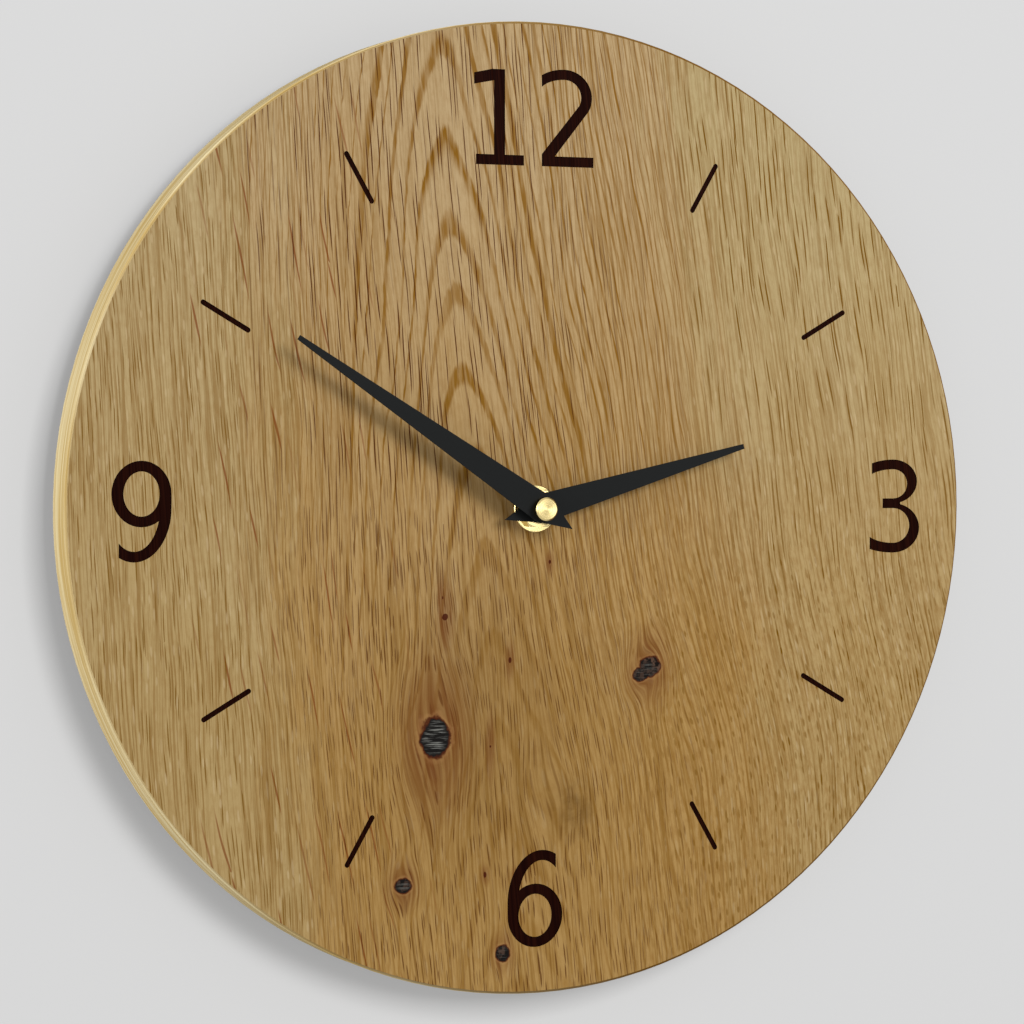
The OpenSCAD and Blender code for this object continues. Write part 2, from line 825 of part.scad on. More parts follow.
// Going train
module third_wheel() {
    z = layer(2);
    facing = third_angle + 180;
    color("ivory") on_wall() translate(third_at) {
        gear(third_n, third_m, z, z + wheel_t, facing);
        gapped_gear(third_pinion_n, centre_m, z, layer(3) + wheel_t + pinion_over, facing);
        arbor();
    }
}

module seconds_wheel() {
    z = layer(1);
    color("ivory") on_wall() {
        gear(seconds_n, seconds_m, z, z + wheel_t, inter_angle);
        gapped_gear(seconds_pinion_n, third_m, z, layer(2) + wheel_t + pinion_over, third_angle);
        disc(arbor_r, rear_shoulder, z + over);
        disc(pivot_r, rear_pivot + over, layer(4));
    }
}

module intermediate_wheel() {
    z = layer(0);
    facing = inter_angle + 180;
    color("ivory") on_wall() translate(inter_at) {
        gear(inter_n, inter_m, z, z + wheel_t, rotor_angle);
        gapped_gear(inter_pinion_n, seconds_m, z, layer(1) + wheel_t + pinion_over, facing);
        arbor();
    }
}

module rotor_pinion() {
    z = layer(0);
    facing = rotor_angle + 180;
    color("ivory") on_wall() translate(rotor_at) {
        gapped_gear(rotor_pinion_n, inter_m, z - pinion_over, z + wheel_t + pinion_over, facing);
        arbor();
    }
}

module rotor_magnet() {
    z = stator_z + (iron_t - magnet_h) / 2;
    color("#3a3a40") on_wall() translate(rotor_at)
        ring(magnet_d / 2, arbor_r + press_gap, z, z + magnet_h);
}

// Stepping motor
module stator_plate() {
    hole_r = magnet_d / 2 + air_gap;
    left = left_pillar_x - pillar_r;
    leg_lo = rotor_at[1] - hole_r - leg_drop;
    right = right_pillar_x + pillar_r;
    top = stator_z + iron_t;
    color("silver") on_wall() difference() {
        union() {
            block([left, leg_lo, stator_z], [rotor_at[0], leg_lo + stator_w, top]);
            block([left, leg_lo, stator_z], [left + 2 * pillar_r, coil_y + pillar_r, top]);
            block([right - 2 * pillar_r, rotor_at[1], stator_z], [right, coil_y + pillar_r, top]);
            translate(rotor_at) disc(hole_r + stator_ring, stator_z, top);
        }
        translate(rotor_at) disc(hole_r, stator_z - over, top + over);
        for (x = [left_pillar_x, right_pillar_x]) translate([x, coil_y, 0])
            disc(pillar_pin_r + press_gap, stator_z - over, top + over);
    }
}

module coil_core() {
    left = left_pillar_x - pillar_r;
    right = right_pillar_x + pillar_r;
    color("gray") on_wall() difference() {
        block([left, coil_y - core_w / 2, core_z], [right, coil_y + core_w / 2, core_z + iron_t]);
        for (x = [left_pillar_x, right_pillar_x]) translate([x, coil_y, 0])
            disc(pillar_pin_r + press_gap, core_z - over, core_z + iron_t + over);
    }
}

// Lays a piece along the coil's axis, from its left end
module along_coil(x) {
    translate([x, coil_y, coil_z]) rotate([0, 90, 0]) children();
}

module coil_bobbin() {
    length = coil_x1 - coil_x0;
    color("ivory") on_wall() difference() {
        along_coil(coil_x0) {
            disc(bobbin_r, 0, length);
            disc(flange_r, 0, flange_t);
            disc(flange_r, length - flange_t, length);
        }
        block([coil_x0 - over, coil_y - core_w / 2 - press_gap, core_z - press_gap],
            [coil_x1 + over, coil_y + core_w / 2 + press_gap, core_z + iron_t + press_gap]);
    }
}

module coil_winding() {
    color("#b5622a") on_wall() along_coil(coil_x0 + flange_t + press_gap)
        ring(winding_d / 2, bobbin_r + press_gap, 0, coil_x1 - coil_x0 - 2 * (flange_t + press_gap));
}

// Circuit
module circuit_board() {
    color("#2f5d3a") on_wall() difference() {
        block([-board_x, board_lo, board_z], [board_x, board_hi, board_z + board_t]);
        for (s = [-1, 1]) translate([s * peg_x, board_y, 0])
            disc(peg_pin_r + run_gap, board_z - over, board_z + board_t + over);
    }
}

module chip() {
    w = 5;
    h = 4;
    t = 1.2;
    x = 9;
    color("#1c1c1e") on_wall()
        block([x, board_y - h / 2, board_face], [x + w, board_y + h / 2, board_face + t]);
}

module quartz_crystal() {
    r = 1;
    length = 6;
    x = -12;
    color("silver") on_wall() translate([x, board_y, board_face + r + press_gap])
        rotate([0, 90, 0]) cylinder(r = r, h = length);
}

// Battery contacts: a plate against the end wall, a strip past the partition and a tab on the board
module contact() {
    plate = contact_plate_w / 2;
    wall = inner_x - contact_t;
    tip_l = contact_room - tip_gap - contact_t / 2;
    block([wall, batt_y - plate, batt_z - plate], [inner_x, batt_y + plate, batt_z + plate]);
    block([wall, batt_y, contact_strip_z], [inner_x, tab_y + tab_w, contact_strip_z + contact_w]);
    block([wall, tab_y, board_face], [inner_x, tab_y + tab_w, contact_strip_z + contact_w]);
    block([board_x - tab_l, tab_y, board_face], [inner_x, tab_y + tab_w, board_face + contact_t]);
    translate([batt_l / 2 + tip_gap, batt_y, batt_z]) rotate([0, 90, 0])
        cylinder(r1 = terminal_d / 2 - tip_inset, r2 = plate - plate_rim, h = tip_l);
}

module positive_contact() {
    color("silver") on_wall() contact();
}

module negative_contact() {
    color("silver") on_wall() mirror([1, 0, 0]) contact();
}

// Battery, lying along x with its positive end to the right
module along_battery(x) {
    translate([x, batt_y, batt_z]) rotate([0, 90, 0]) children();
}

module battery_can() {
    color("silver") on_wall() along_battery(-batt_l / 2) disc(can_r, 0, can_l);
}

module battery_terminal() {
    color("lightgray") on_wall() along_battery(batt_l / 2 - terminal_h) disc(terminal_d / 2, 0, terminal_h);
}

module battery_sleeve() {
    lip = 0.4;
    color("#38424a") on_wall() along_battery(-batt_l / 2 + lip)
        ring(batt_d / 2, can_r + press_gap, 0, can_l - 2 * lip);
}

dial_disc();
hour_hand();
minute_hand();
brass_washer();
hex_nut();
cap_nut();
centre_bush();
gasket();
hanger_bracket();
front_case();
rear_cover();
hour_wheel();
minute_pipe();
centre_wheel();
motion_wheel();
setting_knob();
third_wheel();
seconds_wheel();
intermediate_wheel();
rotor_pinion();
rotor_magnet();
stator_plate();
coil_core();
coil_bobbin();
coil_winding();
circuit_board();
chip();
quartz_crystal();
positive_contact();
negative_contact();
battery_can();
battery_terminal();
battery_sleeve();
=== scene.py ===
"""Looks of a wooden wall clock: the finish of every piece, the wall behind it, the light and the camera."""
import math
from functools import partial

import bpy
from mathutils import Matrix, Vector


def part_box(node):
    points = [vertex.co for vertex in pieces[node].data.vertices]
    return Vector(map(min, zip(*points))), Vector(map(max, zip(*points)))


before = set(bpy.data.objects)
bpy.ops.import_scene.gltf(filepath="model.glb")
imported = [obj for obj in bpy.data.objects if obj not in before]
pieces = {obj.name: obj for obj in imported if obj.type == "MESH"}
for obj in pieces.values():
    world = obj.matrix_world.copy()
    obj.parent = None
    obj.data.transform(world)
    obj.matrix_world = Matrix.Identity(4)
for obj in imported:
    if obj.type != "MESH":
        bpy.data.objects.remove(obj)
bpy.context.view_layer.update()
scene = bpy.context.scene

# Millimetres per metre, because grain and grit are given in millimetres
MM_PER_M = 1000
dial_low, dial_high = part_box("dial_disc")
face_y = dial_low.y * MM_PER_M
dial_r = dial_high.x * MM_PER_M


# Node materials
def linear(code):
    """An sRGB hex colour as linear RGBA."""
    shares = [int(code[i:i + 2], 16) / 255 for i in (1, 3, 5)]
    return [s / 12.92 if s <= 0.04045 else ((s + 0.055) / 1.055) ** 2.4 for s in shares] + [1]


def add(tree, kind, *inputs, **settings):
    """Adds one node, "Kind" or "Kind OPERATION", sets its properties and fills its sockets.

    Inputs fill the sockets in order, or by name where they are a dict. An input is a value, an output, or a
    node whose first output is meant.
    """
    kind, _, operation = kind.partition(" ")
    node = tree.nodes.new("ShaderNode" + kind)
    if operation:
        node.operation = operation
    for name, value in settings.items():
        setattr(node, name, value)
    sockets = [s for s in node.inputs if s.enabled]
    pairs = list(zip(sockets, [i for i in inputs if not isinstance(i, dict)]))
    for named in (i for i in inputs if isinstance(i, dict)):
        pairs += [(node.inputs[name], value) for name, value in named.items()]
    for socket, value in pairs:
        if isinstance(value, bpy.types.Node):
            value = next(s for s in value.outputs if s.enabled)
        if isinstance(value, bpy.types.NodeSocket):
            tree.links.new(value, socket)
        else:
            socket.default_value = value
    return node


def new_material(name):
    """An empty node material, and add() bound to its tree."""
    made = bpy.data.materials.new(name)
    made.use_nodes = True
    made.node_tree.nodes.clear()
    return made, partial(add, made.node_tree)


def millimetres(put):
    """The place on the piece, in millimetres of the shared frame."""
    return put("VectorMath SCALE", put("TexCoord").outputs["Object"], MM_PER_M)


def dress(made, *names):
    """Gives a material to CAD pieces."""
    for name in names:
        for slot in pieces[name].material_slots:
            slot.material = made


# Oak board, with lengths in millimetres, across and up from the hub
# Knots on the face: across and up, half width and half height, the share of filler, then half the width
# and height of the stain round it. Those without filler are pin knots, little more than a stain.
KNOTS = (
    (-33.3, -69.8, 4.9, 6.2, 1, 16, 32),
    (39.2, -49.8, 3.6, 3.3, 0.35, 10, 16),
    (36.2, -52.0, 2.9, 2.2, 0.35, 7, 10),
    (-43.9, -114.6, 2.9, 2.3, 0.7, 7, 10),
    (-10.8, -136.9, 2.3, 3.0, 0.6, 5, 9),
    (-30.0, -32.9, 0.9, 1.0, 0, 3.6, 15),
    (-30.8, -27.0, 0.2, 0.5, 0, 2.6, 9),
    (-8.4, -46.6, 0.5, 0.9, 0, 2, 8),
    (-6.4, -113.6, 0.7, 0.8, 0.3, 2.5, 4),
    (5.0, -16.5, 0.4, 0.6, 0, 2, 5),
    (-16.8, -112.4, 0.5, 0.9, 0, 2, 4),
    (-15.0, -73.0, 0.3, 0.4, 0, 2, 13),
)
# Bumps in a knot's outline: how wide they are, and how far they go in half sizes of the knot
KNOT_BUMP = 3.5
KNOT_WOBBLE = 0.9
# How far a knot turns the grain aside, the half width from which it does so in full, and how far the whorl
# turns it
KNOT_TURN = 0.75
TURNING_SIZE = 2.5
WHORL_TURN = 0.4
# The darker wood between the knots, a whorl without a knot, which the grain flows round, and the smudge at
# its right: across and up to the middle, then half width and half height
DARK_WOOD = (-14, -70, 48, 66)
WHORL = (5, -88, 12, 22)
SMUDGE = (13.5, -93, 9, 11)
# Yearly rings per millimetre of depth. The face cuts them at a low angle, so they show as arches round an
# axis that leans with the grain. A ring dives away from the axis at a near rate, which makes the tip, and at
# a far one.
RING_RATE = 0.42
RING_SLOPE = 0.09
ARCH_X = -18
ARCH_TIP = 1.5
ARCH_NEAR = 0.088
ARCH_NEAR_POWER = 1.25
ARCH_FAR = 0.0066
# The rings sway, and the fibres fray them: width and length of the waves, and how far they go in depth
RING_SWAY = (30, 150, 5)
RING_FRAY = (0.8, 9, 0.4)
# How often the rings change in width, per millimetre of depth, and by how many years
UNEVEN_RATE = 0.6
UNEVEN_YEARS = 0.5
# A ring's golden line takes up less of the year at the left: from and to across, counted from the axis, and
# the shares there
LINE_SPAN = (-26, -5)
LINE_SHARE = (0.075, 0.145)
# The fibres break the golden lines up: width and length of a break
LINE_BREAK = (1.4, 14)
# The grain leans most in the middle of the board: where, how far to each side, and the most and the least
# lean. Lower down it straightens up, over a soft bend.
LEAN_X = 12
LEAN_REACH = 75
GRAIN_LEAN = (0.035, -0.005)
STRAIGHT_Z = -40
SOFT_BEND = 60
LEAST_LEAN = 0.08
# Places where the grain swings over: by how much, from and to up the board, and from and to across it. One
# is below the hub and to its right, the other at the upper right.
SWINGS = ((9, (-95, -5), (-10, 15)), (8, (-10, 120), (35, 80)))
# The grain wanders from side to side: width and length of the waves, and how far they go
GRAIN_WAVES = ((40, 200, 8), (9, 40, 1.6))
# The board's left and right sides begin on a wavy line: from and to across, then the waves as above
LEFT_SIDE = (-66, -100)
RIGHT_SIDE = (48, 84)
SIDE_WAVES = (9, 70, 50)
# From and to up the board, the wood of the top gives way to that of the lower part
LOWER_PART = (20, -40)
# Across the board, from and to: where short slits and mottle begin low down, and where the fine slits fade
SHORT_SPAN = (10, 45)
CALM_SPAN = (8, 48)
# Up the board, from and to: where the right side's slits fade, where the wood turns golden, with patches of
# tone that reach up, and where the grey of the left and the right side changes
BOLD_SPAN = (60, -20)
GOLD_SPAN = (195, 15)
TONE_REACH = 150
LEFT_GREY_SPAN = (80, -120)
RIGHT_GREY_SPAN = (100, 0)
# Away from the arches' axis, from and to: where the brown threads come to their full strength
THREAD_SPAN = (12, 42)
# Slits left by cut vessels: one cell across and along the grain, the slit's width and most length, and the
# share of the cells that hold one. A slit is as long as that or down to a share of it.
TOP_PORES = (1.3, 32, 0.5, 38, 0.9)
LOW_PORES = (1.0, 11, 0.42, 15, 0.85)
LEFT_PORES = (1.1, 18, 0.5, 22, 0.85)
RIGHT_PORES = (1.7, 24, 0.68, 34, 0.9)
SHORT_PORES = (1.9, 5.5, 0.8, 6, 0.85)
RED_LINES = (6, 36, 0.8, 36, 0.8)
PALE_FLECKS = (1.5, 12, 0.8, 8, 0.7)
LEAST_LENGTH = 0.4
# The pale flecks are drawn from another place of the pattern, so that they don't follow the slits
FLECK_SHIFT = 400
# The long red lines lean this much more than the grain, and show between these places at the left
RED_LEAN = 0.15
RED_START = (-35, -60)
RED_END = (-125, -105)
# Fibres, mottle, patches of tone and the clouds of the smudge: width and length
FIBRE = (0.8, 60)
MOTTLE = (1.3, 4)
TONE = (22, 130)
CLOUD = (5, 5)
# Painted glints and cracks in the knots: width and height of a pale glint streak, and the size of a crack
KNOT_GLINT = (5, 0.4)
CRACK = 1.3
# Growth layers on the rim: how long and how thick
RIM_LAYER = (60, 1.2)
# The rim's wood begins this far in on the face
RIM_START = (0.85, 0.7)
# How far down the edge is darkened, and how much, at the left and at the right, each with its places across.
# The dark line is painted shade on the bevel, deeper and darker towards the right.
EDGE_LINE = (0.45, 1)
EDGE_LINE_SPAN = (-60, 60)
EDGE_SHADE = (0.25, 1)
EDGE_SHADE_SPAN = (-110, 40)
# The marks are burnt from this depth on and no deeper than their floor, and none is as near the rim as this
BURN_START = (0.04, 0.1)
MARK_FLOOR = 0.6
MARK_MARGIN = 3


def half_sizes_off(put, place, oval):
    """The distance from the middle of an oval on the face, in half sizes of the oval."""
    oval_x, oval_z, half_w, half_h = oval
    offset = put("VectorMath SUBTRACT", place, (oval_x, 0, oval_z))
    return put("VectorMath LENGTH", put("VectorMath MULTIPLY", offset, (1 / half_w, 0, 1 / half_h)))


def soft_spot(put, place, oval, most):
    """An oval with a soft edge: the most in its middle, nothing a fifth beyond its outline."""
    away = half_sizes_off(put, place, oval)
    return put("MapRange", away, 1.2, 0.1, 0, most, interpolation_type="SMOOTHSTEP")


def knot_fields(put, place, x):
    """For all knots together: distance in half sizes, share of filler, stain and the grain's shift."""
    bumps = put("VectorMath SCALE", place, 1 / KNOT_BUMP)
    wobble = put("TexNoise", {"Vector": bumps, "Scale": 1, "Detail": 3})
    wobble = put("Math MULTIPLY_ADD", wobble, KNOT_WOBBLE, -KNOT_WOBBLE / 2)
    near, filler, stain, shift = 9, 0, 0, 0
    for knot_x, knot_z, half_w, half_h, filled, stain_w, stain_h in KNOTS:
        away = half_sizes_off(put, place, (knot_x, knot_z, half_w, half_h))
        near = put("Math MINIMUM", near, away)
        filler = put("Math MULTIPLY_ADD", put("Math LESS_THAN", away, 2), filled, filler)
        spread = soft_spot(put, place, (knot_x, knot_z, stain_w, stain_h), 1)
        stain = put("Math MAXIMUM", stain, spread)
        turn = KNOT_TURN * min(1, half_w / TURNING_SIZE)
        aside = put("Math MULTIPLY_ADD", x, turn, -turn * knot_x)
        shift = put("Math MULTIPLY_ADD", spread, aside, shift)
    return put("Math ADD", near, wobble), filler, stain, shift


def grain_cells(put, across, along, size):
    """Coordinates that count cells of the given width and length across and along the grain."""
    width, length = size
    across = put("Math MULTIPLY", across, 1 / width)
    along = put("Math MULTIPLY", along, 1 / length)
    return put("CombineXYZ", across, along, 0)


def pore_slits(put, across, along, pores):
    """Tapered slits along the grain, one per cell in a share of the cells, some darker than others."""
    cell_w, cell_l, slit_w, slit_l, share = pores
    cell = grain_cells(put, across, along, (cell_w, cell_l))
    nearest = put("TexVoronoi", {"Vector": cell, "Scale": 1}, voronoi_dimensions="2D").outputs
    dark_draw, length_draw, _ = put("SeparateColor", nearest["Color"]).outputs
    longest = 2 * cell_l / slit_l
    length = put("MapRange", length_draw, 0, 1, longest, longest / LEAST_LENGTH)
    shape = put("CombineXYZ", 2 * cell_w / slit_w, length, 0)
    offset = put("VectorMath MULTIPLY", put("VectorMath SUBTRACT", cell, nearest["Position"]), shape)
    slit = put("MapRange", put("VectorMath LENGTH", offset), 1, 0.5, 0, 1, interpolation_type="SMOOTHSTEP")
    return put("Math MULTIPLY", slit, put("MapRange", dark_draw, 1 - share, 1.5 - share, 0, 1))


def streaks(put, across, along, size, detail):
    """Soft streaks along the grain, of about the given width and length."""
    cell = grain_cells(put, across, along, size)
    look = {"Vector": cell, "Scale": 1, "Detail": detail, "Roughness": 0.6}
    return put("TexNoise", look, noise_dimensions="2D")


def oak_board():
    """Flat-sawn oak, sanded and oiled: pointed arches of the yearly rings, dark slits and black knots."""
    made, put = new_material("oak_flat_sawn_sanded_and_oiled")
    place = millimetres(put)
    x, y, z = put("SeparateXYZ", place).outputs
    depth = put("Math SUBTRACT", y, face_y)
    near, filler, stain, shift = knot_fields(put, place, x)

    # The grain leans, wanders and flows round the knots and the whorl
    whorl = soft_spot(put, place, WHORL, WHORL_TURN)
    shift = put("Math MULTIPLY_ADD", whorl, put("Math SUBTRACT", x, WHORL[0]), shift)
    from_middle = put("Math ABSOLUTE", put("Math SUBTRACT", x, LEAN_X))
    lean = put("MapRange", from_middle, 0, LEAN_REACH, *GRAIN_LEAN, interpolation_type="SMOOTHSTEP")
    height = put("Math SMOOTH_MAX", z, STRAIGHT_Z, SOFT_BEND)
    across = put("Math MULTIPLY_ADD", height, lean, put("Math SUBTRACT", x, shift))
    across = put("Math MULTIPLY_ADD", z, LEAST_LEAN, across)
    for swing, span_z, span_x in SWINGS:
        swung = put("MapRange", z, *span_z, -swing / 2, swing / 2, interpolation_type="SMOOTHSTEP")
        there = put("MapRange", x, *span_x, 0, 1, interpolation_type="SMOOTHSTEP")
        across = put("Math MULTIPLY_ADD", swung, there, across)
    wander = -GRAIN_WAVES[0][2] / 2
    for *size, reach in GRAIN_WAVES:
        wander = put("Math MULTIPLY_ADD", streaks(put, x, z, size, 1), reach, wander)
    across = put("Math ADD", across, wander)

    # Yearly rings, cut at a low angle: a golden line of open early wood in each
    aside = put("Math SUBTRACT", across, ARCH_X)
    from_axis = put("VectorMath LENGTH", put("CombineXYZ", aside, ARCH_TIP, 0))
    arch = put("Math MULTIPLY", put("Math POWER", from_axis, ARCH_NEAR_POWER), ARCH_NEAR)
    arch = put("Math MULTIPLY_ADD", put("Math POWER", from_axis, 2), ARCH_FAR, arch)
    dive = put("Math MULTIPLY_ADD", z, RING_SLOPE, put("Math SUBTRACT", arch, depth))
    *size, reach = RING_SWAY
    dive = put("Math MULTIPLY_ADD", streaks(put, x, z, size, 1), reach, dive)
    *size, reach = RING_FRAY
    dive = put("Math MULTIPLY_ADD", streaks(put, across, z, size, 2), reach, dive)
    uneven = put("Math MULTIPLY", dive, UNEVEN_RATE)
    uneven = put("TexNoise", {"W": uneven, "Scale": 1, "Detail": 1}, noise_dimensions="1D")
    years = put("Math MULTIPLY_ADD", dive, RING_RATE, put("Math MULTIPLY", uneven, UNEVEN_YEARS))
    line = put("MapRange", aside, *LINE_SPAN, *LINE_SHARE)
    line = put("Math DIVIDE", put("Math PINGPONG", years, 0.5), line)
    early = put("MapRange", line, 1.35, 0.4, 0, 1, interpolation_type="SMOOTHSTEP")
    vigour = put("TexWhiteNoise", {"W": put("Math ROUND", years)}, noise_dimensions="1D")
    early = put("Math MULTIPLY", early, put("MapRange", vigour, 0, 1, 0.7, 1))
    broken = streaks(put, across, z, LINE_BREAK, 1)
    early = put("Math MULTIPLY", early, put("MapRange", broken, 0.35, 0.6, 0.5, 1))

    # The middle has long thin slits at the top and shorter ones below. Near the board's sides the rings
    # stand upright, and the vessels are cut to coarser slits.
    *size, reach = SIDE_WAVES
    edge = put("Math SUBTRACT", across, reach / 2)
    edge = put("Math MULTIPLY_ADD", streaks(put, across, z, size, 3), reach, edge)
    left = put("MapRange", edge, *LEFT_SIDE, 0, 1, interpolation_type="SMOOTHSTEP")
    right = put("MapRange", edge, *RIGHT_SIDE, 0, 1, interpolation_type="SMOOTHSTEP")
    side = put("Math ADD", left, right)
    middle = put("Math SUBTRACT", 1, side)
    lower = put("MapRange", z, *LOWER_PART, 0, 1)
    low_right = put("Math MULTIPLY", lower, put("MapRange", across, *SHORT_SPAN, 0, 1))
    top_slits = pore_slits(put, across, z, TOP_PORES)
    top_slits = put("Math MULTIPLY", top_slits, put("MapRange", lower, 0, 1, 1, 0.3))
    low_slits = pore_slits(put, across, z, LOW_PORES)
    low_slits = put("Math MULTIPLY", low_slits, put("MapRange", lower, 0, 0.5, 0, 0.8))
    low_slits = put("Math MULTIPLY", low_slits, put("MapRange", whorl, 0, WHORL_TURN, 1, 0.35))
    calm = put("Math MULTIPLY", middle, put("MapRange", across, *CALM_SPAN, 1, 0.33))
    fine = put("Math MULTIPLY", put("Math MAXIMUM", top_slits, low_slits), calm)
    left_slits = pore_slits(put, across, z, LEFT_PORES)
    left_slits = put("Math MULTIPLY", left_slits, put("Math MULTIPLY", left, 0.8))
    bold = put("Math MULTIPLY", right, put("MapRange", z, *BOLD_SPAN, 1, 0.65))
    right_slits = put("Math MULTIPLY", pore_slits(put, across, z, RIGHT_PORES), bold)
    short_slits = put("Math MULTIPLY", pore_slits(put, across, z, SHORT_PORES), low_right)
    coarse = put("Math ADD", left_slits, right_slits)
    coarse = put("Math MULTIPLY_ADD", short_slits, 0.55, coarse)
    slanting = put("Math MULTIPLY_ADD", z, RED_LEAN, across)
    red = pore_slits(put, slanting, z, RED_LINES)
    red = put("Math MULTIPLY", red, put("MapRange", across, *RED_START, 0, 1))
    red = put("Math MULTIPLY", red, put("MapRange", across, *RED_END, 0, 1))
    flecks = pore_slits(put, put("Math ADD", across, FLECK_SHIFT), z, PALE_FLECKS)
    fibre = streaks(put, across, z, FIBRE, 2)
    mottle = streaks(put, across, z, MOTTLE, 3)
    mottle = put("MapRange", mottle, 0.42, 0.7, 0, put("MapRange", low_right, 0, 1, 0.2, 0.4))

    # Colour: paler and greyer at the top and the sides, golden below, with brown threads that are fainter
    # among the arches
    tone = streaks(put, across, z, TONE, 3)
    low = put("MapRange", put("Math MULTIPLY_ADD", tone, TONE_REACH, z), *GOLD_SPAN, 0, 1)
    wood = put("Mix", low, linear("#BCA177"), linear("#B18D55"), data_type="RGBA")
    grey = put("Math MULTIPLY", left, put("MapRange", z, *LEFT_GREY_SPAN, 0.5, 0.48))
    grey = put("Math MULTIPLY_ADD", right, put("MapRange", z, *RIGHT_GREY_SPAN, 0.75, 0.4), grey)
    wood = put("Mix", grey, wood, linear("#B9A779"), data_type="RGBA")
    gold = put("Math MULTIPLY", early, put("Math MULTIPLY_ADD", middle, 0.9, 0.1))
    gold = put("Math MULTIPLY", gold, put("MapRange", lower, 0, 1, 1, 0.5))
    wood = put("Mix", gold, wood, linear("#865B12"), data_type="RGBA")
    brown = put("MapRange", lower, 0, 1, 0.28, 0.55)
    brown = put("MapRange", from_axis, *THREAD_SPAN, brown, 0.55)
    brown = put("Math SUBTRACT", brown, put("Math MULTIPLY", right, 0.13))
    threads = put("MapRange", fibre, 0.42, 0.64, 0, brown)
    wood = put("Mix", threads, wood, linear("#80591A"), data_type="RGBA")
    wood = put("Mix", mottle, wood, linear("#8A5F24"), data_type="RGBA")
    pale = put("Math MULTIPLY", flecks, put("Math MULTIPLY_ADD", side, 0.3, 0.15))
    wood = put("Mix", pale, wood, linear("#CBB48A"), data_type="RGBA")
    wood = put("Mix", put("Math MULTIPLY", red, 0.75), wood, linear("#7A3A0A"), data_type="RGBA")
    wood = put("Mix", put("Math MULTIPLY", coarse, 0.95), wood, linear("#744E00"), data_type="RGBA")
    wood = put("Mix", put("Math MULTIPLY", fine, 0.95), wood, linear("#4C1E00"), data_type="RGBA")
    gloom = put("Math MULTIPLY", soft_spot(put, place, DARK_WOOD, 0.5), tone)
    wood = put("Mix", gloom, wood, linear("#6B4A1C"), data_type="RGBA")
    smudge = put("MapRange", streaks(put, x, z, CLOUD, 3), 0.3, 0.65, 0.3, 1)
    smudge = put("Math MULTIPLY", soft_spot(put, place, SMUDGE, 0.6), smudge)
    wood = put("Mix", smudge, wood, linear("#5C3D14"), data_type="RGBA")

    # Knots: a reddish stain along the grain, a faint pale ring, a dark one, and a black filled heart with
    # pale streaks that are painted glints
    smoky = put("MapRange", fibre, 0.25, 0.65, 0.35, 0.95)
    smoky = put("Math MULTIPLY", put("Math POWER", stain, 1.1), smoky)
    wood = put("Mix", smoky, wood, linear("#70411F"), data_type="RGBA")
    has_heart = put("Math GREATER_THAN", filler, 0)
    halo = put("MapRange", near, 1.4, 1.15, 0, 0.28, interpolation_type="SMOOTHSTEP")
    halo = put("Math MULTIPLY", halo, put("MapRange", tone, 0.4, 0.6, 0.5, 1))
    wood = put("Mix", put("Math MULTIPLY", halo, has_heart), wood, linear("#B98A58"), data_type="RGBA")
    ring = put("MapRange", near, 1.14, 0.98, 0, 0.9, interpolation_type="SMOOTHSTEP")
    wood = put("Mix", ring, wood, linear("#451509"), data_type="RGBA")
    # Painted glints: pale grey streaks across the knots' dark filler
    glint_w, glint_h = KNOT_GLINT
    knot_glint = put("VectorMath MULTIPLY", place, (1 / glint_w, 1, 1 / glint_h))
    knot_glint = put("TexNoise", {"Vector": knot_glint, "Scale": 1, "Detail": 3})
    knot_glint = put("MapRange", knot_glint, 0.5, 0.7, 0, 0.7)
    knot_glint = put("Math MULTIPLY", knot_glint, put("MapRange", near, 0.9, 0.6, 0, put("Math POWER", filler, 3)))
    cracks = put("VectorMath SCALE", place, 1 / CRACK)
    cracks = put("TexNoise", {"Vector": cracks, "Scale": 1, "Detail": 3})
    cracks = put("MapRange", cracks, 0.45, 0.6, 0, 1)
    bark = put("Mix", cracks, linear("#16110F"), linear("#6B5142"), data_type="RGBA")
    heart = put("Mix", filler, bark, linear("#1B1918"), data_type="RGBA")
    heart = put("Mix", knot_glint, heart, linear("#96968F"), data_type="RGBA")
    filled = put("MapRange", near, 1.0, 0.85, 0, 1, interpolation_type="SMOOTHSTEP")
    wood = put("Mix", put("Math MULTIPLY", filled, has_heart), wood, heart, data_type="RGBA")

    # The rim is turned and left bare: pale wood with lines along the edge, and a brown line at the face,
    # which is painted shade on the bevel, stronger towards the right
    from_hub = put("VectorMath LENGTH", put("VectorMath MULTIPLY", place, (1, 0, 1)))
    layer_l, layer_h = RIM_LAYER
    layers = put("VectorMath MULTIPLY", place, (1 / layer_l, 1 / layer_h, 1 / layer_l))
    layers = put("TexNoise", {"Vector": layers, "Scale": 1, "Detail": 3})
    layers = put("MapRange", layers, 0.38, 0.66, 0, 1)
    rim = put("Mix", layers, linear("#E9D7A8"), linear("#CAAB6A"), data_type="RGBA")
    # Painted shade: the bevel is darkened deeper and more strongly towards the right
    bevel_shade = put("Math LESS_THAN", depth, put("MapRange", x, *EDGE_LINE_SPAN, *EDGE_LINE))
    bevel_shade = put("Math MULTIPLY", bevel_shade, put("MapRange", x, *EDGE_SHADE_SPAN, *EDGE_SHADE))
    rim = put("Mix", bevel_shade, rim, linear("#7F5A22"), data_type="RGBA")
    on_rim = put("MapRange", from_hub, dial_r - RIM_START[0], dial_r - RIM_START[1], 0, 1)
    wood = put("Mix", on_rim, wood, rim, data_type="RGBA")

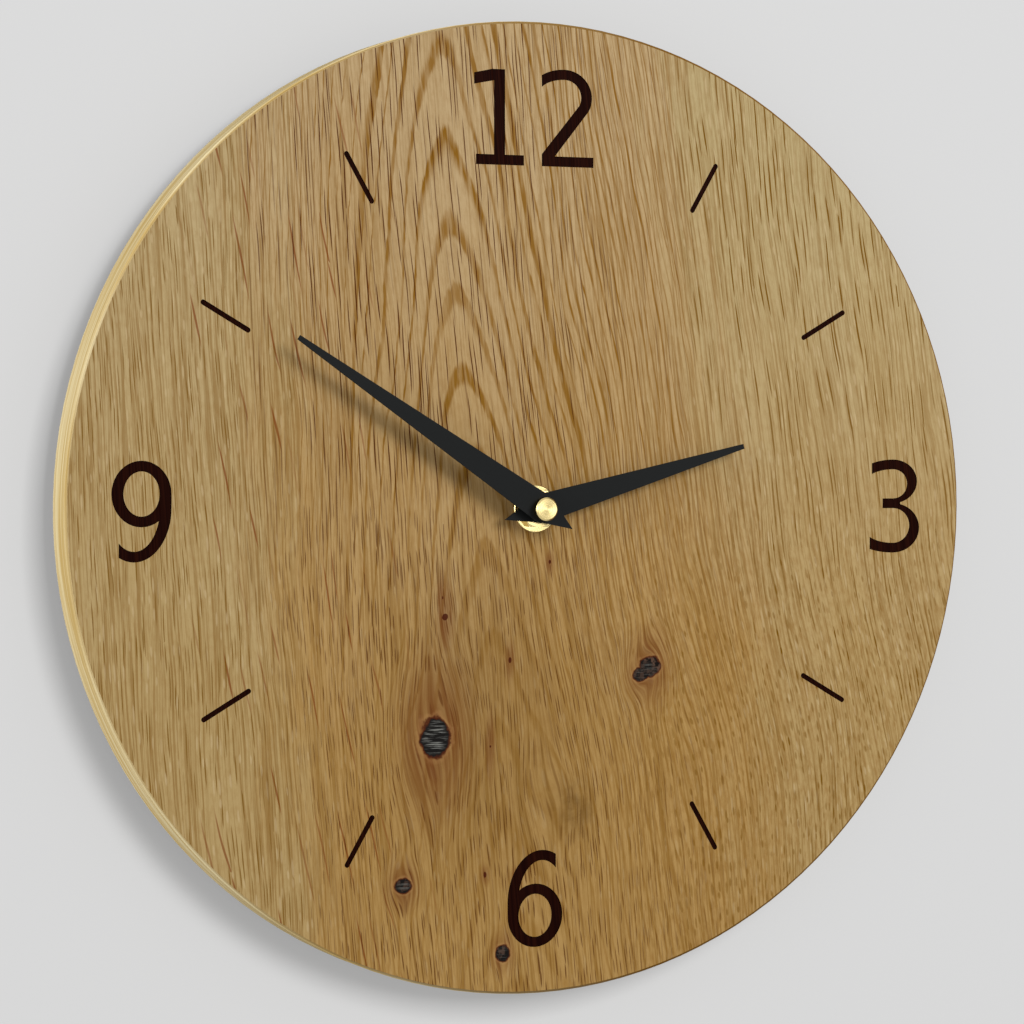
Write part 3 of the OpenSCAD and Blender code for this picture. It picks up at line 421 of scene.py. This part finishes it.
    # Marks are burnt into the face: charred brown-black, with the fibres still showing
    burnt = put("MapRange", depth, *BURN_START, 0, 1)
    burnt = put("Math MULTIPLY", burnt, put("Math LESS_THAN", depth, MARK_FLOOR))
    burnt = put("Math MULTIPLY", burnt, put("Math LESS_THAN", from_hub, dial_r - MARK_MARGIN))
    char = put("MapRange", fibre, 0.4, 0.75, 0, 1)
    char = put("Mix", char, linear("#150200"), linear("#270B03"), data_type="RGBA")
    wood = put("Mix", burnt, wood, char, data_type="RGBA")

    # Open slits are sunk and rougher than the sanded wood
    slits = put("Math MAXIMUM", fine, coarse)
    relief = put("Math MULTIPLY_ADD", fibre, 0.25, put("Math MULTIPLY", slits, -1))
    normal = put("Bump", {"Strength": 0.3, "Distance": 0.1 / MM_PER_M, "Height": relief})
    rough = put("MapRange", slits, 0, 1, 0.6, 0.8)
    put("OutputMaterial", put("BsdfPrincipled", {
        "Base Color": wood, "Roughness": rough, "Normal": normal, "IOR": 1.45, "Specular IOR Level": 0.03,
    }))
    return made


# Metals
def lacquered_sheet():
    """Black lacquer sprayed on sheet metal: an even, matte charcoal with a faint orange-peel."""
    made, put = new_material("black_lacquer_sprayed_on_sheet")
    place = millimetres(put)
    peel_mm = 0.5
    peel = put("TexNoise", {"Vector": put("VectorMath SCALE", place, 1 / peel_mm), "Scale": 1, "Detail": 3})
    colour = put("Mix", peel, linear("#131414"), linear("#1A1C1C"), data_type="RGBA")
    normal = put("Bump", {"Strength": 0.15, "Distance": 0.02 / MM_PER_M, "Height": peel})
    rough = put("MapRange", peel, 0.3, 0.7, 0.42, 0.55)
    put("OutputMaterial", put("BsdfPrincipled", {
        "Base Color": colour, "Roughness": rough, "Normal": normal, "Specular IOR Level": 0.08,
    }))
    return made


def turned_brass():
    """Brass turned on a lathe: fine rings round the axis that spread each highlight into a fan."""
    made, put = new_material("brass_turned_and_polished")
    place = millimetres(put)
    from_axis = put("VectorMath LENGTH", put("VectorMath MULTIPLY", place, (1, 0, 1)))
    # The tool marks are 0.05 mm apart on the real part, and drawn at 0.3 mm so that they show
    mark_mm = 0.3
    marks = put("Math MULTIPLY", from_axis, 1 / mark_mm)
    marks = put("TexNoise", {"W": marks, "Scale": 1, "Detail": 2}, noise_dimensions="1D")
    colour = put("Mix", marks, linear("#E4C87C"), linear("#F6E4AC"), data_type="RGBA")
    normal = put("Bump", {"Strength": 0.2, "Distance": 0.02 / MM_PER_M, "Height": marks})
    rough = put("MapRange", marks, 0.3, 0.7, 0.16, 0.3)
    shader = put("BsdfPrincipled", {
        "Base Color": colour, "Metallic": 1, "Roughness": rough, "Anisotropic": 0.7, "Normal": normal,
        "Tangent": put("Tangent", direction_type="RADIAL", axis="Y"),
    })
    put("OutputMaterial", shader)
    return made


def rolled_metal(name, dark, light, rough, line_mm, run):
    """Rolled or drawn sheet: straight drawing lines along run, and a little uneven tarnish."""
    made, put = new_material(name)
    place = millimetres(put)
    # Real drawing lines are about 0.05 mm apart, and drawn at line_mm so that they show
    run_mm = 60 * line_mm
    cloud_mm = 6
    spread = [1 / run_mm if axis == run else 1 / line_mm for axis in "xyz"]
    lines = put("TexNoise", {"Vector": put("VectorMath MULTIPLY", place, spread), "Scale": 1, "Detail": 3})
    cloud = put("VectorMath SCALE", place, 1 / cloud_mm)
    cloud = put("TexNoise", {"Vector": cloud, "Scale": 1, "Detail": 4})
    tint = put("Math MULTIPLY_ADD", lines, 0.6, put("Math MULTIPLY", cloud, 0.4))
    colour = put("Mix", tint, linear(dark), linear(light), data_type="RGBA")
    normal = put("Bump", {"Strength": 0.2, "Distance": 0.02 / MM_PER_M, "Height": lines})
    shine = put("MapRange", cloud, 0.3, 0.7, rough - 0.06, rough + 0.08)
    shader = put("BsdfPrincipled", {
        "Base Color": colour, "Metallic": 1, "Roughness": shine, "Normal": normal,
    })
    put("OutputMaterial", shader)
    return made


def wound_copper():
    """Enamelled copper wire, machine wound: fine shiny turns side by side."""
    made, put = new_material("copper_wire_enamelled_and_wound")
    x = put("SeparateXYZ", millimetres(put)).outputs[0]
    # The real wire is 0.02 mm thick, and drawn at 0.25 mm so that the turns show
    wire_mm = 0.25
    turn = put("Math SINE", put("Math MULTIPLY", x, 2 * math.pi / wire_mm))
    layer_mm = 1.5
    layer = put("Math MULTIPLY", x, 1 / layer_mm)
    layer = put("TexNoise", {"W": layer, "Scale": 1, "Detail": 2}, noise_dimensions="1D")
    colour = put("Mix", layer, linear("#9A4A1C"), linear("#C8743A"), data_type="RGBA")
    normal = put("Bump", {"Strength": 0.6, "Distance": 0.05 / MM_PER_M, "Height": turn})
    put("OutputMaterial", put("BsdfPrincipled", {
        "Base Color": colour, "Metallic": 1, "Roughness": 0.32, "Normal": normal, "Coat Weight": 0.4,
    }))
    return made


# Plastics, rubber and the rest of the movement
def moulded_plastic(name, dark, light, rough, grit_mm, relief_mm):
    """Injection-moulded plastic: a fine spark-eroded grit and faint flow clouds."""
    made, put = new_material(name)
    place = millimetres(put)
    # The real grit is about 0.05 mm, and drawn at grit_mm so that it shows
    flow_mm = 14
    grit = put("TexNoise", {"Vector": put("VectorMath SCALE", place, 1 / grit_mm), "Scale": 1, "Detail": 2})
    flow = put("TexNoise", {"Vector": put("VectorMath SCALE", place, 1 / flow_mm), "Scale": 1, "Detail": 3})
    tint = put("Math MULTIPLY_ADD", grit, 0.4, put("Math MULTIPLY", flow, 0.6))
    colour = put("Mix", tint, linear(dark), linear(light), data_type="RGBA")
    normal = put("Bump", {"Strength": 0.4, "Distance": relief_mm / MM_PER_M, "Height": grit})
    shine = put("MapRange", grit, 0.3, 0.7, rough - 0.06, rough + 0.08)
    put("OutputMaterial", put("BsdfPrincipled", {
        "Base Color": colour, "Roughness": shine, "Normal": normal, "IOR": 1.5,
    }))
    return made


def printed_sleeve(axis_low, axis_high):
    """Shrink-wrapped PVC film: glossy slate, with a pale band near the plus end and a fine line."""
    made, put = new_material("pvc_film_printed_and_shrunk")
    place = millimetres(put)
    x = put("SeparateXYZ", place).outputs[0]
    # Middle and half width of the printed band and line, as shares of the sleeve's length
    band_middle, band_half = 0.86, 0.075
    line_middle, line_half = 0.745, 0.01
    share = put("MapRange", x, axis_low * MM_PER_M, axis_high * MM_PER_M, 0, 1)
    band = put("Math COMPARE", share, band_middle, band_half)
    line = put("Math COMPARE", share, line_middle, line_half)
    film = put("VectorMath MULTIPLY", place, (1 / 9, 1 / 2, 1 / 2))
    film = put("TexNoise", {"Vector": film, "Scale": 1, "Detail": 3})
    colour = put("Mix", film, linear("#2B3A46"), linear("#334452"), data_type="RGBA")
    colour = put("Mix", band, colour, linear("#B9C2C4"), data_type="RGBA")
    colour = put("Mix", line, colour, linear("#B9C2C4"), data_type="RGBA")
    normal = put("Bump", {"Strength": 0.15, "Distance": 0.05 / MM_PER_M, "Height": film})
    put("OutputMaterial", put("BsdfPrincipled", {
        "Base Color": colour, "Roughness": 0.24, "Normal": normal, "Coat Weight": 0.3, "IOR": 1.53,
    }))
    return made


BRASS = ("brass_washer", "hex_nut", "cap_nut", "centre_bush", "minute_pipe")
dress(oak_board(), "dial_disc")
dress(lacquered_sheet(), "hour_hand", "minute_hand")
dress(turned_brass(), *BRASS)
dress(rolled_metal("steel_rolled_and_zinc_plated", "#9A9EA3", "#C9CCCF", 0.34, 0.3, "z"), "hanger_bracket")
dress(rolled_metal("soft_iron_stamped", "#7F7F80", "#A5A5A6", 0.4, 0.3, "x"), "stator_plate", "coil_core")
dress(rolled_metal("spring_steel_nickel_plated", "#B3B1AA", "#D8D6CF", 0.26, 0.2, "z"),
      "positive_contact", "negative_contact")
dress(rolled_metal("steel_can_drawn", "#B8B8B8", "#DADADA", 0.25, 0.2, "x"),
      "quartz_crystal", "battery_can", "battery_terminal")
dress(wound_copper(), "coil_winding")
dress(moulded_plastic("abs_black_moulded", "#161617", "#232325", 0.48, 0.35, 0.03),
      "front_case", "rear_cover")
dress(moulded_plastic("acetal_grey_moulded", "#C9C8C2", "#DAD9D3", 0.4, 0.4, 0.02), "setting_knob")
dress(moulded_plastic("acetal_natural_moulded", "#DFD9C4", "#EFEAD8", 0.35, 0.4, 0.02),
      "hour_wheel", "centre_wheel", "motion_wheel", "third_wheel", "seconds_wheel", "intermediate_wheel",
      "rotor_pinion", "coil_bobbin")
dress(moulded_plastic("ferrite_sintered", "#2C2C30", "#3A3A3F", 0.6, 0.2, 0.02), "rotor_magnet")
dress(moulded_plastic("epoxy_black_moulded", "#121213", "#1C1C1D", 0.5, 0.25, 0.02), "chip")
dress(moulded_plastic("laminate_green_masked", "#1F5230", "#2B6A40", 0.35, 0.6, 0.01), "circuit_board")
dress(moulded_plastic("rubber_black_moulded", "#141414", "#1F1F1F", 0.75, 0.3, 0.03), "gasket")
sleeve_low, sleeve_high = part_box("battery_sleeve")
dress(printed_sleeve(sleeve_low.x, sleeve_high.x), "battery_sleeve")


# Wall, light and camera, in metres
WALL_GREY = "#DADADA"
WALL_GLOW = 0.4


def shown_rays(put):
    """One for rays that show a thing itself: those from the eye, and those off metal and through glass."""
    path = put("LightPath").outputs
    shown = put("Math MAXIMUM", path["Is Camera Ray"], path["Is Glossy Ray"])
    return put("Math MAXIMUM", shown, path["Is Transmission Ray"])


def wall():
    """A smooth painted wall that only shows from the front, so that the clock's back can be seen too."""
    half = 4
    gap = 0.0008
    mesh = bpy.data.meshes.new("wall")
    corners = [(-half, gap, -half), (half, gap, -half), (half, gap, half), (-half, gap, half)]
    mesh.from_pydata(corners, [], [(0, 1, 2, 3)])
    made, put = new_material("emulsion_paint_rolled")
    see_through = put("NewGeometry").outputs["Backfacing"]
    see_through = put("Math MAXIMUM", see_through, put("LightPath").outputs["Is Shadow Ray"])
    # The glow keeps the paint even, and the rest of its grey takes the shadow
    grey = linear(WALL_GREY)
    glow = put("Emission", {"Color": grey, "Strength": put("Math MULTIPLY", shown_rays(put), WALL_GLOW)})
    paint = put("BsdfDiffuse", {"Color": [(1 - WALL_GLOW) * share for share in grey]})
    paint = put("AddShader", paint, glow)
    put("OutputMaterial", put("MixShader", see_through, paint, put("BsdfTransparent")))
    mesh.materials.append(made)
    plane = bpy.data.objects.new("wall", mesh)
    scene.collection.objects.link(plane)
    return plane


def soft_world(light_level):
    """Even grey light all round; eyes and shiny metal see the wall's grey."""
    world = bpy.data.worlds.new("studio")
    world.use_nodes = True
    world.node_tree.nodes.clear()
    put = partial(add, world.node_tree)
    colour = put("Mix", shown_rays(put), [light_level] * 3 + [1], linear(WALL_GREY), data_type="RGBA")
    put("OutputWorld", put("Background", colour))
    scene.world = world


def soft_lamp(name, place, size, watts, lit):
    """A square soft box that points at the hub and lights only the objects in lit."""
    data = bpy.data.lights.new(name, "AREA")
    data.size = size
    data.energy = watts
    # The light stops at the first thing it meets, so that the wall takes no tint from the wood
    data.cycles.max_bounces = 0
    lamp = bpy.data.objects.new(name, data)
    lamp.location = place
    lamp.rotation_euler = (-Vector(place)).to_track_quat("-Z", "Y").to_euler()
    scene.collection.objects.link(lamp)
    group = bpy.data.collections.new(name + "_lit")
    for obj in lit:
        group.objects.link(obj)
    lamp.light_linking.receiver_collection = group


def photo_camera():
    """Eye of the photograph: from the left, almost level, the hub a little right of the frame's middle."""
    azimuth, elevation = math.radians(-23.57), math.radians(0.99)
    distance = 1.1018
    aim_right, aim_up = -0.007125, -0.00102
    hub = Vector((0, dial_low.y, 0))
    level = math.cos(elevation)
    back = Vector((math.sin(azimuth) * level, -math.cos(azimuth) * level, math.sin(elevation)))
    right = Vector((0, 0, 1)).cross(back).normalized()
    target = hub + right * aim_right + back.cross(right) * aim_up
    data = bpy.data.cameras.new("photo_camera")
    data.sensor_width = 36
    data.lens = 125.5
    camera = bpy.data.objects.new("photo_camera", data)
    camera.location = hub + back * distance
    camera.rotation_euler = (target - camera.location).to_track_quat("-Z", "Y").to_euler()
    scene.collection.objects.link(camera)
    scene.camera = camera


scene.view_settings.view_transform = "Standard"
wall_plane = wall()
soft_world(light_level=0.39)
# Name, place and side of each soft box, its watts, and what it lights
soft_lamp("window", (0.85, -1.4, 0.74), 0.8, 21.6, pieces.values())
soft_lamp("wall_lamp", (0.15, -2.4, 0.72), 0.85, 42, [wall_plane])
soft_lamp("rim_lamp", (-1.5, -0.25, 0.2), 0.8, 15, pieces.values())
soft_lamp("rear_lamp", (0, 1.6, 0), 0.2, 28, pieces.values())
soft_lamp("hub_lamp", (0.62, -1.1, 0.16), 0.3, 0.6, [pieces[name] for name in BRASS])
soft_lamp("washer_lamp", (0.62, -1.1, -0.2), 0.3, 1.2, [pieces["brass_washer"], pieces["hex_nut"]])
photo_camera()
